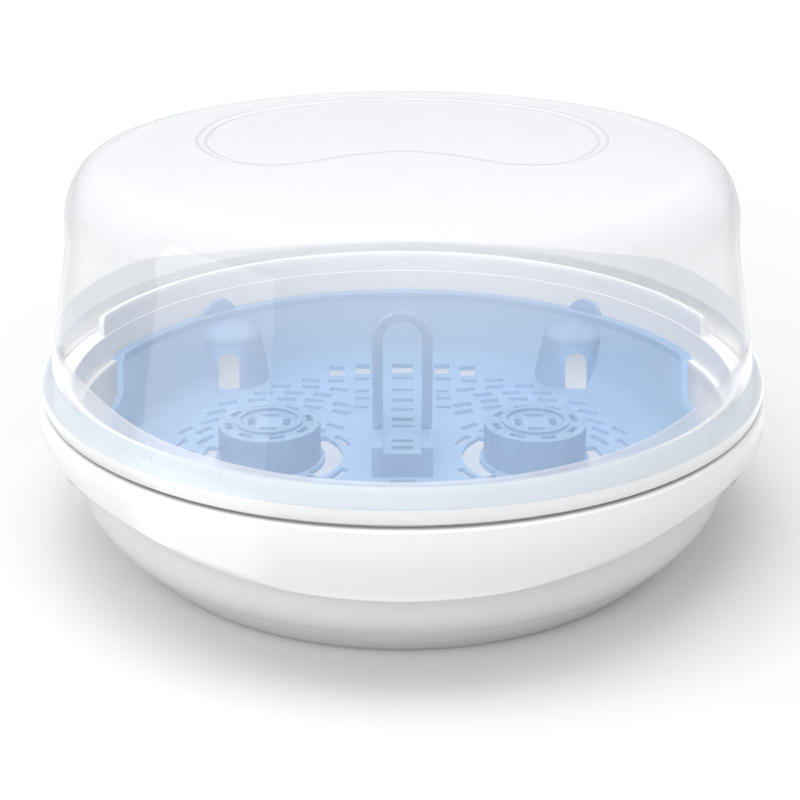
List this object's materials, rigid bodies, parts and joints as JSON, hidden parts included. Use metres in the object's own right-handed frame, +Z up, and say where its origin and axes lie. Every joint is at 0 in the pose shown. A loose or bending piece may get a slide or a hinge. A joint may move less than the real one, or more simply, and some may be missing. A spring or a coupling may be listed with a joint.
{
  "type": "microwave bottle steriliser",
  "caption": "Round microwave steam steriliser for baby bottles: white water bowl with cool-touch skirt, blue lift-out tray, clear domed lid and swing clips.",
  "frame": {"origin": "centre of the foot ring, on the plane it rests on", "axes": "+Z up; the front of the object faces -Y; the finger gaps and clips are on the +X and -X sides"},
  "size_m": [0.2802, 0.28, 0.1546],
  "materials": {
    "white_plastic": "glossy moulded polypropylene",
    "blue_plastic": "translucent moulded polypropylene, satin gloss",
    "clear_plastic": "clear moulded plastic, polished dome with a frosted skirt"
  },
  "bodies": {
    "bowl": {"base_bowl": "white_plastic"},
    "tray": {"steam_tray": "blue_plastic", "tray_loop": "blue_plastic"},
    "lid": {"lid": "clear_plastic"},
    "right_clip": {"clip_right": "white_plastic"},
    "left_clip": {"clip_left": "white_plastic"}
  },
  "joints": [
    {"name": "lid_lift", "type": "slide", "parent": "bowl", "child": "lid", "axis": [0, 0, 1], "range_m": [0, 0.13]},
    {"name": "tray_lift", "type": "slide", "parent": "bowl", "child": "tray", "axis": [0, 0, 1], "range_m": [0, 0.036]},
    {"name": "right_clip_hinge", "type": "hinge", "parent": "bowl", "child": "right_clip", "pos_m": [0.1324, 0, 0.044], "axis": [0, 1, 0], "range_deg": [0, 75]},
    {"name": "left_clip_hinge", "type": "hinge", "parent": "bowl", "child": "left_clip", "pos_m": [-0.1324, 0, 0.044], "axis": [0, -1, 0], "range_deg": [0, 75]}
  ]
}
